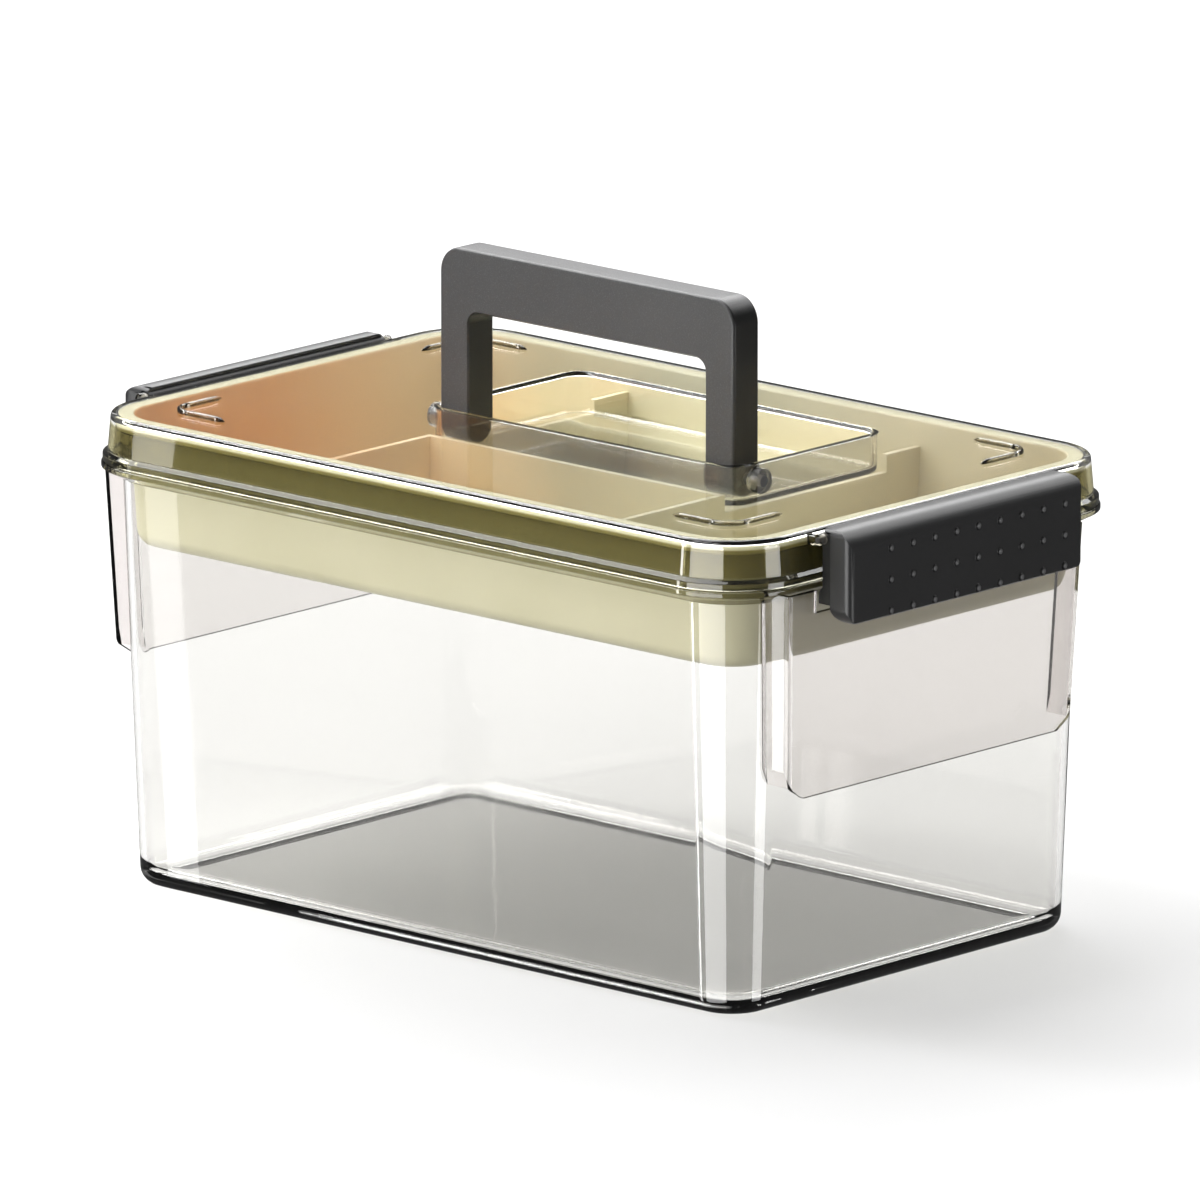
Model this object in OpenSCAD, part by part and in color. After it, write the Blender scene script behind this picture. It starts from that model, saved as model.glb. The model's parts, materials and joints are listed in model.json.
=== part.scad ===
// Clear medicine box: a drafted tub with a lift-off lid, a drop-in tray with
// loose dividers, a handle that folds down into the lid and two side latches.
// Millimetres. X runs along the box, Y from front to back and Z up, and the
// origin is on the floor under the middle of the box.

/* [Box] */
// Length of the flat top of the lid
box_l = 300; // [270:1:330]
// Depth of the flat top of the lid, front to back
box_w = 191; // [180:1:215]
// Height from the floor to the flat top of the lid
box_h = 166; // [140:1:190]
// Corner radius of the flat top of the lid
corner_r = 24; // [20:0.5:27]

/* [Tub] */
// Thickness of the tub's walls
tub_wall = 2.2; // [1.8:0.1:2.6]
// Thickness of the tub's floor
tub_floor = 2.6; // [2:0.1:3.6]
// How far the wall stands inside the lid's outline at the floor
base_inset = 8; // [6.5:0.1:9]
// How far the wall stands inside the lid's outline at its upper edge
neck_inset = 1.9; // [1.7:0.05:2.3]
// Radius round the lower edge of the tub
base_edge_r = 6; // [4:0.5:8]
// How far the rim flange stands outside the lid's outline
flange_reach = 4.9; // [4.5:0.1:5.4]
// Height of the flange's upright edge
flange_t = 1.8; // [1.4:0.1:2.4]
// Width of the slope under the flange that the latches pull on
flange_slope_w = 3; // [2.4:0.1:3.4]
// Rise of that slope over its width
flange_slope = 1.25; // [1.2:0.01:1.4]
// Width of the foot ring under the floor
foot_w = 5; // [4:0.5:7]
// Height of the foot ring
foot_h = 2.4; // [2.2:0.1:3]

/* [Grips on the ends] */
// Half length of a grip, along the short side
grip_half = 74.8; // [70:0.1:76]
// How far the middle of a grip is in front of the middle of the box
grip_shift = 4.5; // [0:0.5:5]
// How far the grip stands outside the lid's outline
grip_reach = 8.5; // [7.6:0.1:8.6]
// How much the grip's face and ends draw in down to its lower edge
grip_lean = 3; // [1:0.1:3.6]
// Distance from the lid's flat top to the grip's lower edge
grip_drop = 90; // [60:1:100]
// Thickness of the grip's walls
grip_wall = 1.9; // [1.6:0.1:2.2]
// Radius of the grip's upright edges
grip_edge_r = 2.2; // [2:0.1:3]
// Radius of the grip's lower corners
grip_corner_r = 10; // [5:0.5:14]

/* [Lid] */
// Thickness of the lid's flat top
lid_plate = 1.8; // [1.5:0.1:2.2]
// Thickness of the lid's skirt
lid_wall = 1.8; // [1.5:0.1:1.9]
// Radius of the edge between the top and the skirt
lid_edge_r = 1.5; // [1:0.1:1.8]
// How much wider the skirt is at its lower edge than the flat top
lid_flare = 3; // [2.6:0.1:3.2]
// Height of the skirt, with its lip
skirt_h = 16.8; // [15:0.1:20]
// Height of the lip round the skirt's lower edge
lip_h = 3.8; // [3:0.1:4.6]
// How far the lip stands outside the lid's outline
lip_reach = 4.4; // [4:0.1:4.6]
// Distance from the lid's middle to the end stacking ribs
rib_x = 129; // [124:0.5:131]
// Distance from the lid's middle to the side stacking ribs
rib_y = 76; // [72:0.5:78]
// Length of each leg of a stacking rib
rib_leg = 27; // [18:1:34]
// Width of a stacking rib
rib_w = 2; // [1.6:0.1:2.6]
// Height of a stacking rib
rib_h = 1.8; // [1.2:0.1:2]
// Outer corner radius of a stacking rib
rib_r = 9; // [6:0.5:12]

/* [Handle] */
// Width of the handle over its legs
handle_w = 135.5; // [110:0.5:150]
// Height of the handle above the lid's flat top
handle_rise = 56.2; // [46:0.1:58]
// Thickness of the handle, front to back
handle_t = 12.9; // [10:0.1:13.5]
// Width of a leg
handle_leg = 13.3; // [10:0.1:14]
// Height of the handle's top bar
handle_bar = 21.7; // [15:0.1:24]
// Outer corner radius of the handle
handle_r = 9; // [5:0.5:10]
// Inner corner radius of the handle
handle_inner_r = 4.5; // [3:0.5:6]
// Radius of the handle's long edges
handle_edge_r = 1.2; // [1:0.1:2.6]
// Depth of the folding axis below the lid's flat top
pivot_drop = 7; // [6.9:0.1:8]
// Diameter of a handle pin
handle_pin_d = 4; // [3:0.1:5]
// Wall round the bore in a pivot boss
boss_wall = 2.4; // [1.6:0.1:2.8]
// Length of a pivot boss outside the recess wall
boss_l = 4.2; // [3:0.1:6]
// Depth of the blind pin bore in a leg
pin_in_leg = 8; // [5:0.5:9]

/* [Recess for the handle] */
// Gap beside the handle's legs
recess_side_gap = 2; // [1.4:0.1:3]
// Gap in front of the upright handle
recess_front_gap = 2; // [1.4:0.1:2.6]
// Gap behind the folded handle
recess_back_gap = 3; // [1.5:0.1:5]
// Gap under the folded handle
recess_floor_gap = 0.5; // [0.4:0.1:1.2]
// Thickness of the recess walls and floor
recess_wall = 1.8; // [1.4:0.1:2]
// Corner radius of the recess
recess_r = 8; // [5:0.5:10]

/* [Tray] */
// Height of the tray, with its rim
tray_h = 44; // [36:1:52]
// Thickness of the tray's walls
tray_wall = 1.9; // [1.6:0.1:2.2]
// Thickness of the tray's floor
tray_floor = 2; // [1.6:0.1:3]
// Thickness of the rim that hangs the tray on the tub
tray_rim_t = 3.2; // [2.6:0.1:4]
// Radius round the lower edge of the tray
tray_edge_r = 5.5; // [4:0.5:7]
// Gap between the tray and the tub at the rim
tray_gap_top = 0.9; // [0.7:0.1:1.2]
// Gap between the tray and the tub at the tray's floor
tray_gap_low = 2.1; // [1.6:0.1:2.8]

/* [Dividers] */
// Thickness of a divider
divider_t = 2.2; // [1.8:0.1:2.8]
// Distance from the middle to a cross divider
divider_x = 67; // [50:1:80]
// Distance of the long divider in front of the middle
divider_y = 12.2; // [12:0.1:30]
// Depth of the dividers' upper edge below the lid's flat top
divider_drop = 11; // [8:0.5:20]
// How far a divider reaches into its groove
groove = 0.7; // [0.5:0.1:0.9]

/* [Latches] */
// Length of a latch
latch_l = 118.6; // [100:0.2:120]
// How far a latch stands outside the lid's outline
latch_reach = 17.5; // [16.6:0.1:19]
// Height of a latch's top above the lid's flat top
latch_rise = 1.1; // [0:0.1:1.3]
// Height of a latch
latch_h = 32.3; // [31.6:0.1:36]
// Depth of the latch's cover, front to back
cover_depth = 8.8; // [8.2:0.1:9]
// Thickness of the cover
cover_wall = 1.6; // [1.3:0.1:1.8]
// Thickness of the flap over the hinge
cover_flap_t = 1.2; // [1:0.05:1.3]
// Radius of the cover's upper outer edge
cover_top_r = 7.5; // [5:0.1:7.8]
// Radius of the cover's other outer edges
cover_edge_r = 2.6; // [2:0.1:3.4]
// Radius of the cover's lower back edge
cover_back_r = 5.5; // [4:0.1:5.8]
// Radius of the cover's upper edge at its ends
cover_end_r = 2.6; // [2:0.1:3.4]
// Radius of the cover's lower corners
cover_corner_r = 6; // [3:0.5:6.5]
// Thickness of the clip inside the cover
clip_t = 1.6; // [1.3:0.1:1.8]
// Diameter of the hinge pin
hinge_pin_d = 2; // [1.6:0.1:2.2]
// Wall round the hinge pin
hinge_wall = 1.1; // [0.9:0.05:1.15]
// Width of a hinge lug on the lid
lug_w = 3; // [2.6:0.2:5]
// How far the hook reaches under the flange
hook_bite = 1.3; // [1:0.1:1.6]
// Number of stiffening ribs inside the clip
clip_ribs = 4; // [2:1:6]

/* [Grip dots] */
// Number of dots along a latch
dot_cols = 9; // [5:1:9]
// Number of rows of dots
dot_rows = 3; // [1:1:3]
// Spacing of the dots
dot_pitch = 11; // [8:0.1:11]
// Height of the spacing between the rows
dot_row_pitch = 10.7; // [7:0.1:10.7]
// Diameter of a dot
dot_d = 3; // [2:0.1:3.6]
// How far a dot stands proud
dot_proud = 0.7; // [0.4:0.1:0.9]
// Shift of the field of dots towards one end of the latch
dot_shift = 5.4; // [0:0.2:5.6]
// How far the middle row lies below the latch's middle
dot_drop = 3; // [2:0.1:3.2]

/* [Clearances] */
// Gap between flat faces that rest on each other
seat_gap = 0.2; // [0.1:0.05:0.3]
// Gap between loose parts side by side
side_gap = 0.4; // [0.3:0.05:0.5]
// Gap round a pin that turns
turn_gap = 0.05; // [0.03:0.01:0.1]
// Gap round a pin that is pressed in, and round a divider in its groove
fit_gap = 0.02; // [0.01:0.01:0.1]
// Gap between the hook and the slope under the flange
hook_gap = 0.5; // [0.4:0.05:0.6]

/* [Hidden] */
$fn = 48;
// Thickness of a level in a loft
skin = 0.01;
// Small edge breaks on the flange and on the lid's lip
flange_edge = 0.5;
lip_edge = 0.4;
// Overshoot of a cut
cut = 1;
half_l = box_l / 2;
half_w = box_w / 2;

// Levels from the top of the lid down
plate_z = box_h - lid_plate;
rim_top_z = plate_z - seat_gap;
rim_low_z = rim_top_z - tray_rim_t;
neck_z = rim_low_z - seat_gap;
skirt_z = box_h - skirt_h;
flange_z = skirt_z - seat_gap;
slope_z = flange_z - flange_t;
flange_low_z = slope_z - flange_slope_w * flange_slope;
tray_low_z = rim_top_z - tray_h;
floor_z = foot_h + tub_floor;

// Offset of the tub's wall, the lid's skirt and the tray's wall at a height
function tub_d(z) = -base_inset + (base_inset - neck_inset) * z / neck_z;
function lid_d(z) = lid_edge_r
  + (lid_flare - lid_edge_r) * (box_h - lid_edge_r - z) / (skirt_h - lid_edge_r);
tray_top_d = tub_d(neck_z) - tub_wall - tray_gap_top;
tray_low_d = tub_d(tray_low_z) - tub_wall - tray_gap_low;
function tray_d(z) = tray_low_d
  + (tray_top_d - tray_low_d) * (z - tray_low_z) / (rim_low_z - tray_low_z);
rim_d = lid_d(rim_top_z) - lid_wall - side_gap;
rim_edge_r = tray_rim_t / 3;

// Handle, recess and pivots
pivot_z = box_h - pivot_drop;
handle_top_z = box_h + handle_rise;
handle_end_r = handle_t / 2;
bar_low_z = handle_top_z - handle_bar;
handle_hole_w = handle_w - 2 * handle_leg;
recess_half = handle_w / 2 + recess_side_gap;
recess_front = handle_t / 2 + recess_front_gap;
recess_back = handle_top_z - pivot_z + recess_back_gap;
// The recess's corners are as round as the handle's legs leave room for, to a tenth
recess_corner_room = (sqrt(2) * (min(recess_side_gap, recess_front_gap) + handle_edge_r)
  - handle_edge_r - seat_gap) / (sqrt(2) - 1);
recess_corner_r = min(recess_r, floor(10 * recess_corner_room) / 10);
recess_floor_z = pivot_z - handle_end_r - recess_floor_gap;
boss_r = handle_pin_d / 2 + turn_gap + boss_wall;
boss_end = recess_half + recess_wall + boss_l;
pin_start = handle_w / 2 - pin_in_leg;

// Dividers
divider_z = box_h - divider_drop;
notch_z = recess_floor_z - recess_wall - 1.4;
notch_front = -recess_front - recess_wall - 1;
notch_back = recess_back + recess_wall + 3;

// Latch, in the plane across its length
cover_out = half_l + latch_reach;
cover_back = cover_out - cover_depth;
latch_top_z = box_h + latch_rise;
latch_low_z = latch_top_z - latch_h;
barrel_r = hinge_pin_d / 2 + hinge_wall;
hinge_z = latch_top_z - cover_flap_t - 0.15 - barrel_r;
hinge_x = half_l + lid_d(hinge_z) + 2.4 + barrel_r + side_gap / 4;
flap_back = hinge_x - hinge_wall / 2;
clip_out = cover_out - cover_wall - 0.1;
clip_top_z = latch_top_z - cover_wall - 0.15;
clip_half = latch_l / 2 - cover_wall - cover_corner_r / 2;
clip_end = latch_l / 2 - 0.1;
clip_low_z = latch_low_z + cover_edge_r;
clip_bend_r = cover_top_r - cover_wall - 0.1;
hook_tip = half_l + flange_reach - hook_bite;
hook_root = half_l + flange_reach + side_gap;
hook_gap_z = hook_gap * sqrt(1 + flange_slope * flange_slope);
function hook_z(x) = slope_z - hook_gap_z - flange_slope * (half_l + flange_reach - x);
hook_low_z = flange_low_z - hook_gap_z - 1.6;
lug_in = latch_l / 2 + side_gap;
lug_out = lug_in + lug_w;

// Grips
grip_root = half_l - base_inset - tub_wall / 2;
grip_out = half_l + grip_reach;
grip_top_z = flange_z;
grip_low_z = box_h - grip_drop;
window_z = hook_low_z - 1.6;
window_half = latch_l / 2 + 1.6;

clear_colour = [0.82, 0.86, 0.88, 0.35];
cream = [0.84, 0.81, 0.66];
charcoal = [0.22, 0.22, 0.23];
dark = [0.1, 0.1, 0.11];
steel = [0.7, 0.7, 0.72];

// A rectangle with round corners
module rounded_rect(l, w, r) {
  square([l - 2 * r, w], center = true);
  square([l, w - 2 * r], center = true);
  for (x = [-1, 1], y = [-1, 1]) {
    translate([x * (l / 2 - r), y * (w / 2 - r)]) circle(r);
  }
}

// The lid's outline, grown by d all round
module outline(d) {
  rounded_rect(box_l + 2 * d, box_w + 2 * d, corner_r + d);
}

// A solid through outlines at rising heights, each given as [height, growth], or as
// [height, growth, length] where the wall stands upright for a length
module loft(levels) {
  last = len(levels) - 1;
  hull() {
    for (i = [0 : last]) {
      tall = is_undef(levels[i][2]) ? skin : levels[i][2];
      translate([0, 0, levels[i][0] - (i == last ? skin : 0)])
        linear_extrude(tall) outline(levels[i][1]);
    }
  }
}

// A plate across the box: a shape drawn in X and Z, centred on Y
module across(length) {
  rotate([90, 0, 0]) linear_extrude(length, center = true) children();
}

// A plate along an end: a shape drawn in Y and Z, from x to x + depth
module endwise(x, depth) {
  translate([x, 0, 0]) rotate([90, 0, 90]) linear_extrude(depth) children();
}

// Levels of a drafted box whose lower edge is rounded with radius r
function bowl_levels(low, top, low_d, top_d, r) = concat(
  [for (a = [0 : 22.5 : 90]) [low + r * (1 - cos(a)), low_d - r * (1 - sin(a))]],
  [[top, top_d]]
);

// Tub

module foot_recess() {
  translate([0, 0, -cut]) linear_extrude(foot_h + cut) outline(-base_inset - base_edge_r - foot_w);
}

// How far the grip's face and ends have drawn in at a height
function grip_draw(z) = grip_lean * (grip_top_z - z) / (grip_top_z - grip_low_z);

// A slice of the grip at a height, d inside its outer faces and s shorter at each end
module grip_slice(z, d, s) {
  out = grip_out - grip_draw(z) - d;
  half = grip_half - grip_draw(z) - d - s;
  r = grip_edge_r - d;
  translate([0, -grip_shift, z]) linear_extrude(skin) {
    translate([grip_root, -half]) square([out - r - grip_root, 2 * half]);
    translate([grip_root, -half + r]) square([out - grip_root, 2 * (half - r)]);
    for (y = [-1, 1]) {
      translate([out - r, y * (half - r)]) circle(r, $fn = 24);
    }
  }
}

module grip_block() {
  r = grip_corner_r;
  hull() {
    for (a = [0 : 22.5 : 90]) {
      grip_slice(grip_low_z + r * (1 - cos(a)), 0, r * (1 - sin(a)));
    }
    grip_slice(grip_top_z - skin, 0, 0);
  }
}

// The finger space behind a grip, open below, and the window for the hook
module grip_space() {
  hull() {
    grip_slice(grip_low_z - cut, grip_wall, 0);
    grip_slice(grip_top_z - grip_wall, grip_wall, 0);
  }
  across(2 * window_half) translate([half_l, window_z])
    square([grip_reach + cut, grip_top_z - window_z + cut]);
}

module grip() {
  difference() {
    grip_block();
    grip_space();
  }
}

module tub() {
  color(clear_colour) difference() {
    union() {
      loft(bowl_levels(0, neck_z, -base_inset, tub_d(neck_z), base_edge_r));
      loft([
        [flange_low_z, flange_reach - flange_slope_w],
        [slope_z, flange_reach, flange_t - flange_edge],
        [flange_z, flange_reach - flange_edge]
      ]);
      grip();
      mirror([1, 0, 0]) grip();
    }
    loft(bowl_levels(
      floor_z, neck_z + cut, tub_d(floor_z) - tub_wall,
      tub_d(neck_z + cut) - tub_wall, base_edge_r - tub_wall / 2
    ));
    foot_recess();
  }
}

// Lid

module recess_outline(grow) {
  l = 2 * (recess_half + grow);
  w = recess_front + recess_back + 2 * grow;
  translate([0, (recess_back - recess_front) / 2]) rounded_rect(l, w, recess_corner_r + grow);
}

module stacking_rib() {
  linear_extrude(rib_h) intersection() {
    difference() {
      rounded_rect(2 * rib_x + rib_w, 2 * rib_y + rib_w, rib_r);
      rounded_rect(2 * rib_x - rib_w, 2 * rib_y - rib_w, rib_r - rib_w);
    }
    translate([rib_x + rib_w / 2 - rib_leg, rib_y + rib_w / 2 - rib_leg]) square(rib_leg);
  }
}

// A lug beside each end of a latch, with its eye round the hinge pin
module hinge_lug() {
  rotate([90, 0, 0]) linear_extrude(lug_w) {
    translate([hinge_x, hinge_z]) circle(barrel_r);
    translate([half_l + lid_d(hinge_z) - lid_wall / 2, hinge_z - barrel_r])
      square([hinge_x - half_l - lid_d(hinge_z) + lid_wall / 2, 1.5 * barrel_r]);
  }
}

module lid_shell() {
  difference() {
    union() {
      loft(concat(
        [[skirt_z, lid_flare]],
        [for (a = [90 : -30 : 0])
          [box_h - lid_edge_r * (1 - cos(a)), lid_edge_r * sin(a)]]
      ));
      loft([
        [skirt_z, lip_reach - lip_edge],
        [skirt_z + lip_edge, lip_reach, lip_h - 4 * lip_edge],
        [skirt_z + lip_h, lid_flare - lip_edge]
      ]);
    }
    loft([
      [skirt_z - cut, lid_flare - lid_wall],
      [plate_z - 1, lid_d(plate_z - 1) - lid_wall],
      [plate_z, lid_d(plate_z) - lid_wall - 0.6]
    ]);
  }
}

module pivot_bore(side) {
  translate([side * (recess_half - cut), 0, pivot_z]) rotate([0, side * 90, 0])
    cylinder(h = recess_wall + boss_l + 2 * cut, r = handle_pin_d / 2 + turn_gap);
}

module lid() {
  color(clear_colour) difference() {
    union() {
      lid_shell();
      translate([0, 0, recess_floor_z - recess_wall])
        linear_extrude(plate_z + lid_plate / 2 - recess_floor_z + recess_wall)
          recess_outline(recess_wall);
      for (side = [-1, 1]) {
        translate([side * (recess_half + recess_wall / 2), 0, pivot_z])
          rotate([0, side * 90, 0]) cylinder(h = boss_l + recess_wall / 2, r = boss_r);
      }
      for (x = [0, 1], y = [0, 1]) {
        mirror([x, 0, 0]) mirror([0, y, 0]) {
          translate([0, 0, box_h - skin]) stacking_rib();
          translate([0, lug_out, 0]) hinge_lug();
        }
      }
    }
    translate([0, 0, recess_floor_z]) linear_extrude(box_h - recess_floor_z + cut)
      recess_outline(0);
    for (side = [-1, 1]) {
      pivot_bore(side);
      translate([side * hinge_x, 0, hinge_z]) rotate([90, 0, 0])
        cylinder(h = 2 * (lug_out + cut), r = hinge_pin_d / 2 + turn_gap, center = true);
    }
  }
}

// Tray and dividers

// The tray's inside, grown by g
module tray_space(g, top) {
  loft(bowl_levels(
    tray_low_z + tray_floor - g, top,
    tray_d(tray_low_z + tray_floor) - tray_wall + g,
    tray_d(top) - tray_wall + g, tray_edge_r - tray_wall / 2
  ));
}

// The two cross dividers and the long one, thickened by g
module cross_plate(side, g) {
  notch_w = notch_back - notch_front;
  difference() {
    translate([side * divider_x - divider_t / 2 - g, -half_w, tray_low_z])
      cube([divider_t + 2 * g, box_w, divider_z - tray_low_z]);
    translate([side * divider_x - divider_t, notch_front, notch_z])
      cube([2 * divider_t, notch_w, box_h]);
  }
}

module long_plate(g) {
  reach = divider_x - divider_t / 2 + groove + g;
  translate([-reach, -divider_y - divider_t / 2 - g, tray_low_z])
    cube([2 * reach, divider_t + 2 * g, divider_z - tray_low_z]);
}

module tray() {
  color(cream) difference() {
    union() {
      loft(bowl_levels(tray_low_z, rim_low_z + tray_rim_t / 2, tray_low_d,
        tray_d(rim_low_z + tray_rim_t / 2), tray_edge_r));
      loft([
        [rim_low_z, rim_d - rim_edge_r / 2],
        [rim_low_z + rim_edge_r / 2, rim_d, tray_rim_t - 1.5 * rim_edge_r],
        [rim_top_z, rim_d - rim_edge_r]
      ]);
    }
    tray_space(0, rim_top_z + cut);
    intersection() {
      tray_space(groove, rim_top_z);
      union() {
        cross_plate(-1, fit_gap);
        cross_plate(1, fit_gap);
        long_plate(fit_gap);
      }
    }
  }
}

module cross_divider(side) {
  color(cream) difference() {
    intersection() {
      tray_space(groove - side_gap / 2, rim_top_z);
      cross_plate(side, 0);
    }
    long_plate(fit_gap);
  }
}

module long_divider() {
  reach = divider_x - divider_t / 2 + groove - side_gap / 2;
  color(cream) intersection() {
    tray_space(groove - side_gap / 2, rim_top_z);
    long_plate(0);
    translate([-reach, -half_w, 0]) cube([2 * reach, box_w, box_h]);
  }
}

// Handle

// The handle's outline drawn in X and Z, drawn in by d, with plain lower ends
module handle_outline(d) {
  w = handle_w - 2 * d;
  r = handle_r - d;
  top = handle_top_z - d;
  low = pivot_z - handle_end_r;
  translate([-w / 2, low]) square([w, top - r - low]);
  translate([-w / 2 + r, low]) square([w - 2 * r, top - low]);
  for (x = [-1, 1]) {
    translate([x * (w / 2 - r), top - r]) circle(r);
  }
}

module handle_hole_outline(d) {
  w = handle_hole_w + 2 * d;
  r = handle_inner_r + d;
  top = bar_low_z + d;
  low = pivot_z - handle_end_r - cut;
  translate([-w / 2, low]) square([w, top - r - low]);
  translate([-w / 2 + r, low]) square([w - 2 * r, top - low]);
  for (x = [-1, 1]) {
    translate([x * (w / 2 - r), top - r]) circle(r);
  }
}

module handle_body() {
  hull() {
    for (y = [-1, 1], a = [0 : 30 : 90]) {
      translate([0, y * (handle_t / 2 - handle_edge_r * (1 - cos(a)) - skin / 2), 0])
        across(skin) handle_outline(handle_edge_r * (1 - sin(a)));
    }
  }
}

module handle_hole() {
  chamfer = handle_edge_r / 2;
  across(handle_t + 2 * cut) handle_hole_outline(0);
  for (y = [-1, 1]) {
    hull() {
      translate([0, y * (handle_t / 2 - chamfer), 0]) across(skin) handle_hole_outline(0);
      translate([0, y * handle_t / 2, 0]) across(2 * skin) handle_hole_outline(chamfer);
    }
  }
}

// The handle seen from its side, drawn in by d, with the round ends of the legs
module leg_side(d) {
  translate([0, pivot_z]) circle(handle_end_r - d);
  translate([-handle_end_r + d, pivot_z])
    square([handle_t - 2 * d, handle_top_z - pivot_z + cut]);
}

// A block of that shape whose rims are broken, so that the legs turn clear of the recess
module leg_block() {
  rim = handle_edge_r / 2;
  past = seat_gap;
  hull() {
    endwise(-handle_w / 2 + rim, handle_w - 2 * rim) leg_side(0);
    endwise(-handle_w / 2 - past, handle_w + 2 * past) leg_side(rim + past);
  }
}

module handle() {
  color(charcoal) difference() {
    intersection() {
      handle_body();
      leg_block();
    }
    handle_hole();
    for (side = [-1, 1]) {
      translate([side * (pin_start - fit_gap), 0, pivot_z]) rotate([0, side * 90, 0])
        cylinder(h = pin_in_leg + cut, r = handle_pin_d / 2 + fit_gap);
    }
  }
}

module handle_pin(side) {
  color(steel) translate([side * pin_start, 0, pivot_z]) rotate([0, side * 90, 0])
    cylinder(h = boss_end - pin_start, r = handle_pin_d / 2);
}

// Latches, drawn on the right and turned round for the left

// A box from the latch's back to its front with rounded outer edges
module cover_block(grow) {
  out = cover_out + grow;
  top = latch_top_z + grow;
  low = latch_low_z - grow;
  half = latch_l / 2 + grow;
  top_r = cover_top_r + grow;
  edge_r = cover_edge_r + grow;
  back_r = cover_back_r + grow;
  back = cover_back - grow;
  intersection() {
    across(2 * half) hull() {
      translate([out - top_r, top - top_r]) circle(top_r);
      translate([out - edge_r, low + edge_r]) circle(edge_r);
      translate([back + back_r, low + back_r]) circle(back_r);
      translate([back, top - edge_r]) square([max(skin, out - top_r - back), edge_r]);
    }
    translate([0, 0, low - cut]) linear_extrude(top - low + 2 * cut) {
      translate([back - cut, -half]) square([out - back + cut - edge_r, 2 * half]);
      translate([out - 2 * edge_r, -half + edge_r]) square([2 * edge_r, 2 * (half - edge_r)]);
      for (y = [-1, 1]) {
        translate([out - edge_r, y * (half - edge_r)]) circle(edge_r);
      }
    }
  }
}

// The latch seen from its outer side, with rounded corners
module cover_face(grow) {
  half = latch_l / 2 + grow;
  top = latch_top_z + grow;
  low = latch_low_z - grow;
  top_r = cover_end_r + grow;
  low_r = cover_corner_r + grow;
  translate([-half, low + low_r]) square([2 * half, top - top_r - low - low_r]);
  translate([-half + low_r, low]) square([2 * (half - low_r), low_r + cut]);
  translate([-half + top_r, top - top_r - cut]) square([2 * (half - top_r), top_r + cut]);
  for (y = [-1, 1]) {
    translate([y * (half - low_r), low + low_r]) circle(low_r);
    translate([y * (half - top_r), top - top_r]) circle(top_r);
  }
}

// A low dome, with a root inside the cover's wall
module grip_dot() {
  dome_r = (dot_d * dot_d / 4 + dot_proud * dot_proud) / (2 * dot_proud);
  root = cover_wall / 2;
  rotate_extrude() intersection() {
    translate([0, dot_proud - dome_r]) circle(dome_r);
    translate([0, -root]) square([dot_d, root + dot_proud]);
  }
}

module latch_cover() {
  dots_x = (dot_cols - 1) / 2;
  dots_z = (dot_rows - 1) / 2;
  dot_mid_z = (latch_top_z + latch_low_z) / 2 - dot_drop;
  color(charcoal) {
    difference() {
      intersection() {
        union() {
          cover_block(0);
          across(latch_l) translate([flap_back, latch_top_z - cover_flap_t])
            square([cover_out - cover_top_r - flap_back, cover_flap_t]);
        }
        endwise(flap_back - cut, cover_out - flap_back + 2 * cut) cover_face(0);
      }
      intersection() {
        cover_block(-cover_wall);
        endwise(cover_back - cut, cover_depth + 2 * cut) cover_face(-cover_wall);
      }
      across(latch_l - 2 * cover_wall)
        translate([flap_back - cut, hook_low_z - side_gap])
          square([cover_depth, latch_top_z - cover_wall - hook_low_z + side_gap]);
      across(latch_l + cut)
        translate([flap_back - cut, latch_low_z - cut])
          square([cover_back - flap_back + cut, latch_h + cut - cover_flap_t]);
    }
    for (i = [-dots_x : dots_x], j = [-dots_z : dots_z]) {
      translate([cover_out, i * dot_pitch + dot_shift, dot_mid_z + j * dot_row_pitch])
        rotate([0, 90, 0]) grip_dot();
    }
  }
}

// The clip's section: barrel, top web, front plate, the bend between them and the hook
module clip_section() {
  translate([hinge_x, hinge_z]) circle(barrel_r);
  translate([hinge_x, clip_top_z - clip_t]) square([clip_out - clip_bend_r - hinge_x, clip_t]);
  translate([clip_out - clip_t, clip_low_z])
    square([clip_t, clip_top_z - clip_bend_r - clip_low_z]);
  translate([clip_out - clip_bend_r, clip_top_z - clip_bend_r]) intersection() {
    difference() {
      circle(clip_bend_r);
      circle(clip_bend_r - clip_t);
    }
    translate([-cut, -cut]) square(clip_bend_r + 2 * cut);
  }
  polygon([
    [hook_tip, hook_low_z], [clip_out - clip_t / 2, hook_low_z],
    [clip_out - clip_t / 2, hook_low_z + clip_t], [hook_root + clip_t, hook_low_z + clip_t],
    [hook_root + clip_t, hook_z(hook_root)], [hook_root, hook_z(hook_root)],
    [hook_tip, hook_z(hook_tip)]
  ]);
}

module clip_rib_section() {
  bend = (clip_bend_r - clip_t / 2) * cos(45);
  polygon([
    [hook_root, hook_low_z + clip_t / 2], [clip_out - clip_t / 2, hook_low_z + clip_t / 2],
    [clip_out - clip_t / 2, clip_top_z - clip_bend_r],
    [clip_out - clip_bend_r + bend, clip_top_z - clip_bend_r + bend],
    [clip_out - clip_bend_r, clip_top_z - clip_t / 2], [hinge_x, clip_top_z - clip_t / 2],
    [hinge_x - barrel_r / 2, hinge_z - barrel_r / 2], [hook_root, hinge_z - 2 * barrel_r]
  ]);
}

// The share of a clip section that lies behind the cover's back edge
module clip_behind_cover() {
  intersection() {
    children();
    translate([hook_tip - cut, hook_low_z - cut])
      square([cover_back - 0.2 - hook_tip + cut, latch_h]);
  }
}

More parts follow.
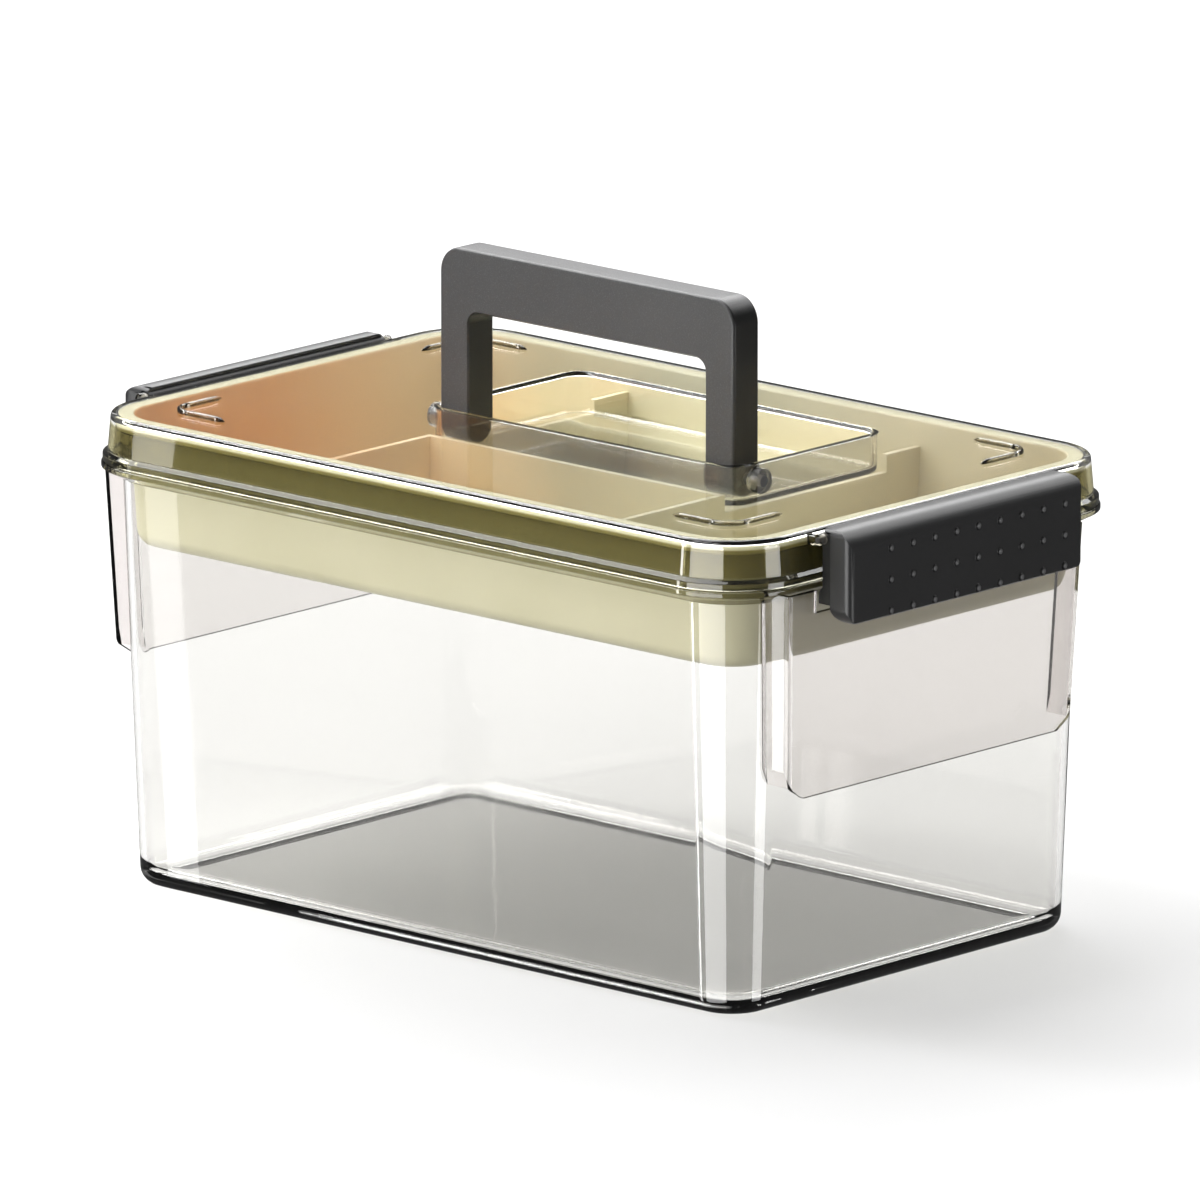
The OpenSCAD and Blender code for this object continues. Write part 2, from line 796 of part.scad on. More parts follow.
module latch_clip() {
  rib_span = 2 * clip_half - clip_t;
  color(dark) difference() {
    union() {
      across(2 * clip_half) clip_section();
      across(2 * clip_end) clip_behind_cover() clip_section();
      for (y = [-1, 1]) {
        translate([0, y * (clip_end - clip_t / 2), 0])
          across(clip_t) clip_behind_cover() clip_rib_section();
      }
      for (i = [0 : clip_ribs - 1]) {
        translate([0, -rib_span / 2 + i * rib_span / (clip_ribs - 1), 0])
          across(clip_t) clip_rib_section();
      }
    }
    translate([hinge_x, 0, hinge_z]) rotate([90, 0, 0])
      cylinder(h = latch_l, r = hinge_pin_d / 2 + fit_gap, center = true);
  }
}

module latch_pin() {
  color(steel) translate([hinge_x, 0, hinge_z]) rotate([90, 0, 0])
    cylinder(h = 2 * lug_out, r = hinge_pin_d / 2, center = true);
}

module left_side() {
  rotate([0, 0, 180]) children();
}

tub();
lid();
tray();
cross_divider(-1);  // divider_left
cross_divider(1);  // divider_right
long_divider();  // divider_long
handle();
handle_pin(-1);  // handle_pin_left
handle_pin(1);  // handle_pin_right
left_side() latch_cover();  // latch_left_cover
left_side() latch_clip();  // latch_left_clip
left_side() latch_pin();  // latch_left_pin
latch_cover();  // latch_right_cover
latch_clip();  // latch_right_clip
latch_pin();  // latch_right_pin
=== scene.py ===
# %% [markdown]
# # A clear medicine box, from profiles and outlines
#
# The real box is moulded from clear plastic: a drafted tub, a lid with a sunk recess for
# its handle, and a cream tray that hangs inside. Two charcoal latches hold the lid down.
# The frame below is the measured model of the same box, in metres, with the floor at zero.
# Nothing that it holds is moved: this lesson dresses it.

# %% Load the measured frame
import json
import math

import bmesh
import bpy
import numpy as np
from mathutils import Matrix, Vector


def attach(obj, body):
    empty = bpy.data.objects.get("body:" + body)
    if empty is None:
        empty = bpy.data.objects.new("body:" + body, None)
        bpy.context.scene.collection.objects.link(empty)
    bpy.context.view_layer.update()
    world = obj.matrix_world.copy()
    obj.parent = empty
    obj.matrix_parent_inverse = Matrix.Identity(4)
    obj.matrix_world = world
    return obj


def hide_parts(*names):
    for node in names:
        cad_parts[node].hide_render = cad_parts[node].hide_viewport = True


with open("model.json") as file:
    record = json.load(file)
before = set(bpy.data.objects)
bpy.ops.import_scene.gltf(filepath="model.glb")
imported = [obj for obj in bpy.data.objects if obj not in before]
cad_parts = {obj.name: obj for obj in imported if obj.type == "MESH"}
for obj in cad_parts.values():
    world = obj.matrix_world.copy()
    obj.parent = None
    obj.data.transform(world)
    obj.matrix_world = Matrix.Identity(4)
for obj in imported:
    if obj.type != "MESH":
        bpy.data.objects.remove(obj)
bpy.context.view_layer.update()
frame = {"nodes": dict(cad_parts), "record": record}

# %% [markdown]
# ## Sizes
#
# A mould maker draws one outline, the edge of the lid's flat top, and gives every other
# wall as so many millimetres outside or inside it. The same is done here, so each wall
# needs only a height and an offset. The values are those of the measured model.

# %% The outline and the levels
MM = 0.001
HALF_L, HALF_W, CORNER = 150 * MM, 95.5 * MM, 24 * MM
BOX_H = 166 * MM
SKIRT_Z = BOX_H - 16.8 * MM
FLANGE_Z = SKIRT_Z - 0.2 * MM
SLOPE_Z = FLANGE_Z - 1.8 * MM
FLANGE_LOW = SLOPE_Z - 3.75 * MM
PLATE_Z = BOX_H - 1.8 * MM
RIM_TOP = PLATE_Z - 0.2 * MM
RIM_LOW = RIM_TOP - 3.2 * MM
NECK_Z = RIM_LOW - 0.2 * MM
TRAY_LOW = RIM_TOP - 44 * MM
PIVOT_Z = BOX_H - 7 * MM


def tub_offset(z):
    """The tub's wall leans out evenly: 8 mm inside the outline at the floor, 1.9 mm at its neck."""
    return (-8 + 6.1 * z / NECK_Z) * MM


def lid_offset(z):
    """The lid's skirt flares evenly: 1.5 mm out at its upper edge, 3 mm at its lower edge."""
    return (1.5 + 1.5 * (BOX_H - 1.5 * MM - z) / (15.3 * MM)) * MM


print("tub wall offset at the floor, mm:", round(tub_offset(0) / MM, 2),
      "at the neck:", round(tub_offset(NECK_Z) / MM, 2))

# %% [markdown]
# ## The camera
#
# The photograph was taken from the right front corner, a little above the lid, with a
# long lens, so that parallel edges stay nearly parallel. The camera is made first: its
# place follows from the turn, the height angle and the distance, and a small step down
# puts the handle and the floor inside the frame without any lens shift.

# %% Camera
TURN, RISE, DISTANCE = math.radians(42.45), math.radians(13.4), 6.870
LENS, SENSOR = 605.9, 36
STEP_RIGHT, STEP_DOWN = 0.5 * MM, 57.3 * MM
level = math.cos(RISE)
look = Vector((-math.sin(TURN) * level, math.cos(TURN) * level, -math.sin(RISE)))
right = Vector((math.cos(TURN), math.sin(TURN), 0))
up = right.cross(look)
camera = bpy.data.objects.new("camera", bpy.data.cameras.new("camera"))
camera.data.lens, camera.data.sensor_width = LENS, SENSOR
camera.data.clip_start, camera.data.clip_end = 0.1, 60
lid_middle = Vector((0, 0, BOX_H))
camera.location = lid_middle - look * DISTANCE + right * STEP_RIGHT - up * STEP_DOWN
camera.rotation_mode = "QUATERNION"
camera.rotation_quaternion = look.to_track_quat("-Z", "Y")
bpy.context.scene.collection.objects.link(camera)
bpy.context.scene.camera = camera
print("camera at", [round(c, 3) for c in camera.location])

# %% [markdown]
# ## Surfaces from a profile and an outline
#
# A moulded shell is a profile carried round an outline. The outline is a rectangle with
# round corners and the profile is a path of straight runs and small fillets, as a mould
# drawing gives it. Both come with their own outward directions, so each point of the
# surface gets its exact normal, and long flat walls reflect as flat as real ones.

# %% Outlines and profiles as arrays
def outline(half_x, half_y, corner, centre=(0.0, 0.0), steps=18):
    """Points and outward directions round a rectangle with round corners, counter-clockwise.

    A corner's point is its arc's centre plus the radius times the direction at that angle.
    """
    turns = np.radians(np.arange(4) * 90.0)[:, None] + np.linspace(0, np.pi / 2, steps + 1)
    ways = np.stack([np.cos(turns), np.sin(turns)], -1)
    signs = np.array([[1, 1], [-1, 1], [-1, -1], [1, -1]])
    arcs = np.array([half_x - corner, half_y - corner]) * signs
    points = arcs[:, None] + corner * ways + np.array(centre)
    return points.reshape(-1, 2), ways.reshape(-1, 2)


def profile(corners, steps=6):
    """A path through (offset, height, fillet radius) corners, and the way each point faces.

    The material is on the left of the path. A fillet starts the radius times the tangent of
    half the bend before its corner, and turns evenly from the one run's side to the next one's.
    """
    spots = np.array([c[:2] for c in corners], float)
    radii = [c[2] if len(c) > 2 else 0.0 for c in corners]
    runs = np.diff(spots, axis=0)
    runs /= np.linalg.norm(runs, axis=1)[:, None]
    sides = np.stack([runs[:, 1], -runs[:, 0]], 1)
    points, ways = [spots[:1]], [sides[:1]]
    for i in range(1, len(spots) - 1):
        before, after, r = runs[i - 1], runs[i], radii[i]
        bend = math.atan2(before[0] * after[1] - before[1] * after[0], before @ after)
        start = spots[i] - before * r * math.tan(abs(bend) / 2)
        turns = np.linspace(0, bend, steps + 1)
        side = sides[i - 1]
        way = np.stack([
            side[0] * np.cos(turns) - side[1] * np.sin(turns),
            side[0] * np.sin(turns) + side[1] * np.cos(turns)], 1)
        hand = 1 if bend > 0 else -1
        points.append(start - hand * r * side + hand * r * way)
        ways.append(way)
    points.append(spots[-1:])
    ways.append(sides[-1:])
    return np.concatenate(points), np.concatenate(ways)


def skin(path, base):
    """Every profile point on every outline point.

    Each is the outline's point moved out by the profile's offset, at the profile's height, and
    its normal is the outline's direction tilted as the profile is.
    """
    (spots, ways), (points, outs) = path, base
    flat = points[None] + spots[:, 0, None, None] * outs[None]
    height = np.broadcast_to(spots[:, 1, None], flat.shape[:2])
    grid = np.dstack([flat, height])
    tilt = np.broadcast_to(ways[:, 1, None], flat.shape[:2])
    normals = np.dstack([ways[:, 0, None, None] * outs[None], tilt])
    return grid, normals


def collection_add(name, points, faces, normals=None, *, body, stands_for, finish):
    """Puts arrays into a mesh at the origin and says what it rides on and stands for."""
    mesh = bpy.data.meshes.new(name)
    mesh.from_pydata(np.round(points, 8), [], faces)
    mesh.validate()
    mesh.shade_smooth()
    if normals is not None:
        mesh.normals_split_custom_set_from_vertices(normals)
    piece = bpy.data.objects.new(name, mesh)
    bpy.context.scene.collection.objects.link(piece)
    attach(piece, body)
    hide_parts(*stands_for)
    return piece


def band_faces(rows, columns, closed=True):
    """Quads between neighbouring rows of a grid, whose last column joins the first when closed."""
    across = columns if closed else columns - 1
    r, c = np.meshgrid(np.arange(rows - 1), np.arange(across), indexing="ij")
    n = (c + 1) % columns
    low, high = r * columns, (r + 1) * columns
    return np.stack([low + c, low + n, high + n, high + c], -1).reshape(-1, 4).tolist()


def end_caps(rows, columns):
    """One flat face on the first row and one on the last, each facing away from the other."""
    return [list(range(columns))[::-1], list(range((rows - 1) * columns, rows * columns))]


def lathe_shell(grid, normals):
    """Closes a grid of rings with a flat fan at each end: points, faces and normals.

    Each fan's middle is the mean of its ring.
    """
    rows, columns = grid.shape[:2]
    points = np.concatenate([grid.reshape(-1, 3), grid[0].mean(0)[None], grid[-1].mean(0)[None]])
    normals = np.concatenate([normals.reshape(-1, 3), normals[0, :1], normals[-1, :1]])
    c = np.arange(columns)
    n = (c + 1) % columns
    start, end, last = rows * columns, rows * columns + 1, (rows - 1) * columns
    first_fan = np.stack([n, c, np.full(columns, start)], 1)
    last_fan = np.stack([last + c, last + n, np.full(columns, end)], 1)
    return points, band_faces(rows, columns) + first_fan.tolist() + last_fan.tolist(), normals


def give_mark(mesh, name, domain, values):
    """A number on each point or face of a mesh, for a shader to read."""
    data = mesh.attributes.new(name, "FLOAT", domain).data
    data.foreach_set("value", values.astype(np.float32))


box_outline = outline(HALF_L, HALF_W, CORNER)
print("outline points:", len(box_outline[0]))

# %% [markdown]
# ## The tub
#
# The tub is one clear shell: a foot ring, a drafted wall with a well rounded lower edge,
# a flange with a sloped underside that the latches pull on, and a neck that the lid
# slips over. It could be a box with bevels, but the draft, the fillets and the flange
# are all one path here, outside and inside, so the wall keeps its thickness everywhere.

# %% Tub shell
TUB_WALL, FLOOR_TOP = 2.2 * MM, 5 * MM
FOOT_IN, FOOT_H = -19 * MM, 2.4 * MM
FLANGE_OUT = 4.9 * MM
MIDDLE = -21 * MM
tub_path = profile([
    (MIDDLE, FOOT_H),
    (FOOT_IN, FOOT_H, 0.6 * MM),
    (FOOT_IN, 0, 0.5 * MM),
    (tub_offset(0), 0, 6 * MM),
    (tub_offset(FLANGE_LOW), FLANGE_LOW, 0.5 * MM),
    (FLANGE_OUT, SLOPE_Z, 0.4 * MM),
    (FLANGE_OUT, FLANGE_Z, 0.5 * MM),
    (tub_offset(FLANGE_Z), FLANGE_Z, 0.4 * MM),
    (tub_offset(NECK_Z), NECK_Z, 0.7 * MM),
    (tub_offset(NECK_Z) - TUB_WALL, NECK_Z, 0.7 * MM),
    (tub_offset(FLOOR_TOP) - TUB_WALL, FLOOR_TOP, 4.9 * MM),
    (MIDDLE, FLOOR_TOP),
])
tub_grid, tub_normals = skin(tub_path, box_outline)
tub = collection_add("tub_shell", *lathe_shell(tub_grid, tub_normals),
                     body="tub", stands_for=["tub"], finish="clear_shell")
print("tub shell:", len(tub.data.polygons), "faces")

# %% [markdown]
# ## The grips
#
# Each short end has a hollow grip: a plate that stands off the wall, with an end web at
# either side, open below for the fingers. Its plan is a U with round corners, carried
# from its lower edge up to the flange, and it draws in evenly on the way down. The lower
# edge rises at its ends to make the round corners that the photograph shows, and a window
# lets the latch's hook through.

# %% Grips
GRIP_HALF, GRIP_Y, GRIP_WALL = 74.8 * MM, -4.5 * MM, 1.9 * MM
GRIP_OUT, GRIP_LEAN, GRIP_LOW, GRIP_ROUND = 158.5 * MM, 3 * MM, BOX_H - 90 * MM, 10 * MM
GRIP_BEND, GRIP_SINK, LEAN_FROM = 2.2 * MM, 0.4 * MM, 62 * MM
WINDOW_Z, WINDOW_HALF, WINDOW_STEP = 139.45 * MM, 60.9 * MM, 0.05 * MM
EDGE_ANGLE = math.radians(35)


def wall_x(y, z):
    """Where the tub's outer wall is on the short end.

    It is flat in the middle, and past it x is the arc's centre plus the square root of the
    radius squared less the distance past squared.
    """
    offset = tub_offset(z)
    past = np.clip(np.abs(y) - (HALF_W - CORNER), 0, CORNER + offset)
    return HALF_L - CORNER + np.sqrt((CORNER + offset) ** 2 - past ** 2)


def grip_plan():
    """The U's outer line in plan: its y, and its depth behind the outer face.

    A depth of -1 stands for the tub's wall. A corner's point is the bend's radius times one
    less the cosine of its angle along y, and times one less the sine in depth.
    """
    bend = np.linspace(0, np.pi / 2, 7)[1:]
    corner_y = GRIP_BEND * (1 - np.cos(bend))
    corner_depth = GRIP_BEND * (1 - np.sin(bend))
    beside = np.linspace(WINDOW_HALF + WINDOW_STEP, WINDOW_HALF + 4 * MM, 4)
    ys = np.concatenate([
        [-GRIP_HALF, -GRIP_HALF], -GRIP_HALF + corner_y,
        -beside[::-1], np.linspace(-WINDOW_HALF, WINDOW_HALF, 13), beside,
        (GRIP_HALF - corner_y)[::-1], [GRIP_HALF, GRIP_HALF]])
    depth = np.concatenate([
        [-1, GRIP_BEND], corner_depth, np.zeros(21), corner_depth[::-1], [GRIP_BEND, -1]])
    return ys, depth


def grip(name, side):
    """The U's outer and inner line at each height, from the lower edge to the top.

    The lower edge rises at its ends as a quarter circle. The U draws in by the lean times the
    share of the way down, in x all along and in y only towards its ends.
    """
    ys, back = grip_plan()
    outer = np.stack([ys, back], 1)
    half = GRIP_HALF - GRIP_WALL
    inner_depth = np.where(back < 0, -1, np.maximum(back, GRIP_WALL))
    inner = np.stack([np.clip(ys, -half, half), inner_depth], 1)
    loop = np.concatenate([outer, inner[::-1]])
    y, depth = loop[:, 0], loop[:, 1]
    past = np.clip(np.abs(y) - (GRIP_HALF - GRIP_ROUND), 0, GRIP_ROUND)
    low = GRIP_LOW + GRIP_ROUND - np.sqrt(GRIP_ROUND ** 2 - past ** 2)
    top = np.where(np.abs(y) <= WINDOW_HALF, WINDOW_Z, SLOPE_Z)
    share = np.array([0, 0.004, 0.012, 0.25, 0.5, 0.75, 0.988, 0.996, 1])[:, None]
    z = low + share * (top - low)
    draw = GRIP_LEAN * (FLANGE_Z - z) / (FLANGE_Z - GRIP_LOW)
    near_end = np.clip((np.abs(y) - LEAN_FROM) / (half - LEAN_FROM), 0, 1)
    y_real = y - np.sign(y) * draw * near_end + GRIP_Y
    x = np.where(depth < 0, wall_x(y_real, z) - GRIP_SINK, GRIP_OUT - draw - depth)
    grid = np.stack([side * x, y_real, z], -1)
    if side < 0:
        grid = grid[:, ::-1]
    rows, columns = grid.shape[:2]
    c = np.arange(columns // 2 - 1)
    rungs = np.stack([c, c + 1, columns - 2 - c, columns - 1 - c], 1)
    caps = rungs[:, ::-1].tolist() + (rungs + (rows - 1) * columns).tolist()
    piece = collection_add(name, grid.reshape(-1, 3), band_faces(rows, columns) + caps,
                           body="tub", stands_for=["tub"], finish="clear_shell")
    piece.data.set_sharp_from_angle(angle=EDGE_ANGLE)
    return piece


grips = [grip("grip_right", 1), grip("grip_left", -1)]
print("grip faces:", [len(g.data.polygons) for g in grips])

# %% [markdown]
# ## The lid
#
# The lid's flat top runs from the skirt's rounded edge to the edge of the recess, which
# has an outline of its own. Two families of rings meet on that flat: one follows the
# box's outline and one the recess's. Written one after the other, from under the recess
# out along the plate's underside, down inside the skirt, up its outside, in over the top
# and down into the recess, they make one closed shell with no seam.

# %% Lid shell
RECESS_X, RECESS_Y, RECESS_CORNER, RECESS_BACK = 69.75 * MM, 37.325 * MM, 7.5 * MM, 28.875 * MM
RECESS_FLOOR = PIVOT_Z - 6.95 * MM
LID_WALL = 1.8 * MM
LIP_OUT, LIP_TOP, LIP_END = 4.4 * MM, SKIRT_Z + 2.6 * MM, SKIRT_Z + 3.8 * MM
recess_base = outline(RECESS_X, RECESS_Y, RECESS_CORNER, centre=(0, RECESS_BACK))
recess_under_path = profile([
    (-5 * MM, RECESS_FLOOR - LID_WALL),
    (LID_WALL, RECESS_FLOOR - LID_WALL, 2.2 * MM),
    (LID_WALL, PLATE_Z, 0.6 * MM),
    (4.5 * MM, PLATE_Z),
])
skirt_path = profile([
    (-6 * MM, PLATE_Z),
    (lid_offset(PLATE_Z) - LID_WALL, PLATE_Z, 1.0 * MM),
    (1.2 * MM, SKIRT_Z, 0.3 * MM),
    (LIP_OUT, SKIRT_Z, 0.4 * MM),
    (LIP_OUT, LIP_TOP, 0.5 * MM),
    (lid_offset(LIP_END), LIP_END, 0.5 * MM),
    (lid_offset(BOX_H) + 0.1 * MM, BOX_H, 1.6 * MM),
    (-3 * MM, BOX_H),
])
recess_top_path = profile([
    (2 * MM, BOX_H),
    (0, BOX_H, 0.7 * MM),
    (0, RECESS_FLOOR, 1.6 * MM),
    (-5 * MM, RECESS_FLOOR),
])
lid_parts = [skin(recess_under_path, recess_base), skin(skirt_path, box_outline),
             skin(recess_top_path, recess_base)]
lid_grid = np.concatenate([p[0] for p in lid_parts])
lid_normals = np.concatenate([p[1] for p in lid_parts])
lid = collection_add("lid_shell", *lathe_shell(lid_grid, lid_normals),
                     body="lid", stands_for=["lid"], finish="clear_shell")
skirt_rings = len(lid_parts[0][0]) + np.array([0, len(lid_parts[1][0])])
skirt_from, skirt_to = skirt_rings * lid_grid.shape[1]
skirt_mark = np.zeros(len(lid.data.vertices))
skirt_mark[skirt_from:skirt_to] = 1
give_mark(lid.data, "skirt", "POINT", skirt_mark)
print("lid rings:", len(lid_grid), "of them skirt:", len(lid_parts[1][0]))

# %% [markdown]
# ## Stacking ribs, bosses and lugs
#
# Small features of the lid are sweeps of their own, sunk a little into it as they are
# moulded on: four corner ribs that keep a second box from sliding, two bosses that the
# handle's pins turn in, and four lugs that carry the latches' hinge pins.

# %% Stacking ribs
RIB_X, RIB_Y, RIB_LEG, RIB_BEND = 129 * MM, 76 * MM, 27 * MM, 8 * MM
RIB_HALF, RIB_RISE, RIB_LIFT = 0.85 * MM, 1.3 * MM, 0.35 * MM


def sweep(path_points, path_ways, section):
    """A section of (across, up) points carried along a flat path.

    A point is the path's point plus across times the path's outward direction, at the height up.
    """
    flat = path_points[:, None] + section[None, :, :1] * path_ways[:, None]
    up_part = np.broadcast_to(section[None, :, 1:], flat.shape[:2] + (1,))
    return np.dstack([flat, up_part])


def stacking_rib(name, turn_x, turn_y):
    """A rounded bar along the L of a corner, with its ends drawn in so that they close.

    The section is an ellipse whose sine and cosine are raised to 0.8, which fills it out.
    """
    bend = np.linspace(0, np.pi / 2, 13)
    run = np.linspace(RIB_LEG, RIB_BEND + 0.2 * MM, 8)
    arc_way = np.stack([np.cos(bend), np.sin(bend)], 1)
    arc = np.array([RIB_X - RIB_BEND, RIB_Y - RIB_BEND]) + RIB_BEND * arc_way
    first = np.stack([np.full(8, RIB_X), RIB_Y + 1 * MM - run], 1)
    last = np.stack([RIB_X + 1 * MM - run[::-1], np.full(8, RIB_Y)], 1)
    points = np.concatenate([first, arc, last])
    ways = np.concatenate([np.tile([1.0, 0.0], (8, 1)), arc_way, np.tile([0.0, 1.0], (8, 1))])
    around = np.linspace(0, 2 * np.pi, 17)[:-1]
    section = np.stack([RIB_HALF * np.cos(around), RIB_RISE * np.sin(around)], 1)
    section = np.sign(section) * np.abs(section / MM) ** 0.8 * MM
    grid = sweep(points, ways, section)
    size = np.ones(len(points))
    size[[0, -1]] = 0.02
    size[[1, -2]] = 0.9
    middle = np.concatenate([points, np.zeros((len(points), 1))], 1)[:, None]
    grid = middle + (grid - middle) * size[:, None, None]
    grid[..., 2] += BOX_H + RIB_LIFT
    grid = grid * np.array([turn_x, turn_y, 1])
    if turn_x * turn_y > 0:
        grid = grid[:, ::-1]
    rows, columns = grid.shape[:2]
    faces = band_faces(rows, columns) + end_caps(rows, columns)
    return collection_add(name, grid.reshape(-1, 3), faces,
                          body="lid", stands_for=["lid"], finish="clear_shell")


ribs = [stacking_rib(f"rib_{i}", x, y)
        for i, (x, y) in enumerate([(1, 1), (-1, 1), (-1, -1), (1, -1)])]
print("ribs:", len(ribs))

# %% Pivot bosses
BOSS_X, BOSS_R, BOSS_HALF, BOSS_BORE = 73.65 * MM, 4.45 * MM, 2.1 * MM, 0.1 * MM


def turned(name, path, centre, steps=40):
    """A profile of (radius, distance) turned about x.

    A point is the distance along x, the radius times the cosine along y and times the sine up.
    """
    spots, ways = path
    turn = np.linspace(0, 2 * np.pi, steps + 1)[:-1]
    rim = np.stack([np.cos(turn), np.sin(turn)], 1)[None]
    along = np.broadcast_to(spots[:, 1, None], (len(spots), steps))
    lift = np.broadcast_to(ways[:, 1, None], along.shape)
    grid = np.dstack([along, spots[:, 0, None, None] * rim]) + np.array(centre)
    normals = np.dstack([lift, ways[:, 0, None, None] * rim])
    return collection_add(name, *lathe_shell(grid, normals),
                          body="lid", stands_for=["lid"], finish="clear_shell")


boss_path = profile([
    (BOSS_BORE, -BOSS_HALF),
    (BOSS_R, -BOSS_HALF, 0.3 * MM),
    (BOSS_R, BOSS_HALF, 0.5 * MM),
    (BOSS_BORE, BOSS_HALF),
])
bosses = [turned(f"boss_{s}", boss_path, (k * BOSS_X, 0, PIVOT_Z))
          for s, k in (("right", 1), ("left", -1))]
print("bosses:", len(bosses))

# %% Hinge lugs
HINGE_X, HINGE_Z, EYE, LUG_Y = 156.183 * MM, 163.65 * MM, 2.1 * MM, 61.2 * MM


def hinge_lug(name, side, y):
    """The lug's outline in x and z, carried across y.

    The outline is a half circle of the eye's radius, closed by a web back to the skirt, and its
    outer layers are drawn in by a tenth towards its middle.
    """
    turn = np.linspace(-np.pi / 2, np.pi / 2 + 0.6, 20)
    root = HALF_L + lid_offset(HINGE_Z) - 0.9 * MM
    eye = np.stack([HINGE_X + EYE * np.cos(turn), HINGE_Z + EYE * np.sin(turn)], 1)
    web_top = HINGE_Z + 0.5 * EYE
    web = np.array([[HINGE_X - 0.8 * EYE, web_top], [root, web_top], [root, HINGE_Z - EYE]])
    loop = np.concatenate([eye, web])
    middle = loop.mean(0)
    across = np.array([-1.5, -1.2, 1.2, 1.5]) * MM + y
    shrink = np.array([0.9, 1, 1, 0.9])
    flat = middle + (loop - middle)[None] * shrink[:, None, None]
    y_real = np.broadcast_to(across[:, None], flat.shape[:2])
    grid = np.stack([side * flat[..., 0], y_real, flat[..., 1]], -1)
    if side > 0:
        grid = grid[:, ::-1]
    rows, columns = grid.shape[:2]
    faces = band_faces(rows, columns) + end_caps(rows, columns)
    piece = collection_add(name, grid.reshape(-1, 3), faces,
                           body="lid", stands_for=["lid"], finish="clear_shell")
    piece.data.set_sharp_from_angle(angle=EDGE_ANGLE)
    return piece


lugs = [hinge_lug(f"lug_{s}_{e}", k, way * LUG_Y)
        for s, k in (("right", 1), ("left", -1)) for e, way in (("front", -1), ("back", 1))]
print("lugs:", len(lugs))

# %% [markdown]
# ## The tray
#
# The tray is an opaque cream shell that hangs by its rim on the neck of the tub. It is
# made as the tub is, from one path round the same outline. An attribute marks which
# points face its inside, because its inside gets painted shade and warm bounced light,
# while from without, through the clear wall, it keeps a paler cream.

# %% Tray shell
TRAY_WALL, TRAY_FLOOR = 1.9 * MM, TRAY_LOW + 2 * MM
tray_low_offset = tub_offset(TRAY_LOW) - 4.3 * MM
tray_top_offset = tub_offset(NECK_Z) - 3.1 * MM


def tray_offset(z):
    """The tray's wall leans out evenly from its floor to its rim."""
    reach = tray_top_offset - tray_low_offset
    return tray_low_offset + reach * (z - TRAY_LOW) / (RIM_LOW - TRAY_LOW)


rim_offset = lid_offset(RIM_TOP) - 2.2 * MM
tray_path = profile([
    (MIDDLE, TRAY_LOW),
    (tray_offset(TRAY_LOW), TRAY_LOW, 5.5 * MM),
    (tray_offset(RIM_LOW), RIM_LOW, 0.4 * MM),
    (rim_offset, RIM_LOW, 0.6 * MM),
    (rim_offset, RIM_TOP, 1.1 * MM),
    (tray_offset(RIM_TOP) - TRAY_WALL, RIM_TOP, 0.9 * MM),
    (tray_offset(TRAY_FLOOR) - TRAY_WALL, TRAY_FLOOR, 4.6 * MM),
    (MIDDLE, TRAY_FLOOR),
])
tray_grid, tray_normals = skin(tray_path, box_outline)
tray = collection_add("tray_shell", *lathe_shell(tray_grid, tray_normals),
                      body="tray", stands_for=["tray"], finish="tray_cream")
PAST_TOP = 4
first_inner = int(np.argmax(tray_path[0][:, 1])) + PAST_TOP
inside = np.zeros(len(tray.data.vertices))
inside[first_inner * tray_grid.shape[1]:-2] = 1
inside[-1] = 1
give_mark(tray.data, "inside", "POINT", inside)
print("tray rings:", len(tray_grid), "inner from", first_inner)

# %% [markdown]
# ## Smooth copies of the moulded small parts
#
# The handle, the latch covers, the clips, the dividers and the pins have the right shape
# in the measured model, but its triangles are loose. They could be modelled again, which
# would gain nothing. A merged copy takes soft normals across small steps and keeps its
# real edges sharp, and a Weighted Normal modifier lets the large flats rule the shading.

# %% Smooth copies
SAME_POINT, SAME_PLANE, REAL_EDGE = 2e-6, 0.002, math.radians(31)


def smooth_copy(node, body):
    """The node's mesh with its doubles merged, its flats joined and its real edges kept sharp."""
    piece = bpy.data.objects.new(node + "_finish", frame["nodes"][node].data.copy())
    piece.data.materials.clear()
    bpy.context.scene.collection.objects.link(piece)
    work = bmesh.new()
    work.from_mesh(piece.data)
    bmesh.ops.remove_doubles(work, verts=work.verts, dist=SAME_POINT)
    bmesh.ops.dissolve_limit(work, angle_limit=SAME_PLANE, verts=work.verts, edges=work.edges)
    work.to_mesh(piece.data)
    work.free()
    piece.data.shade_smooth()
    piece.data.set_sharp_from_angle(angle=REAL_EDGE)
    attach(piece, body)
    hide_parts(node)
    weighted = piece.modifiers.new("flat faces rule", "WEIGHTED_NORMAL")
    weighted.keep_sharp = True
    return piece


copies = {}
slots = {s["node"]: s["material_slot"] for s in frame["record"]["subparts"]}
for body_name, members in frame["record"]["behaviour"]["bodies"].items():
    for member in members:
        if member not in ("tub", "lid", "tray"):
            copies[member] = smooth_copy(member, body_name)
print("copies:", {k: len(v.data.polygons) for k, v in copies.items()})

# %% [markdown]
# ## Marks for painted light and shade
#
# Some painted light and shade follows the shape. The grip dots get a painted highlight on
# their crowns and painted shade round their feet, and the handle's flanks get painted shade,
# darker than its front. It could be drawn in an image, but a number on the mesh that a
# shader reads needs no picture: how far a point stands proud of the cover's plate, and how
# far a face is turned towards the handle's ends.

# %% Heights of the dots and flanks of the handle
PLATE_X, DOT_PROUD = 167.5 * MM, 0.7 * MM


def along_x(parts, value):
    """The size along x of a vector that each point or face of a mesh has."""
    numbers = np.empty(len(parts) * 3, np.float32)
    parts.foreach_get(value, numbers)
    return np.abs(numbers[0::3])


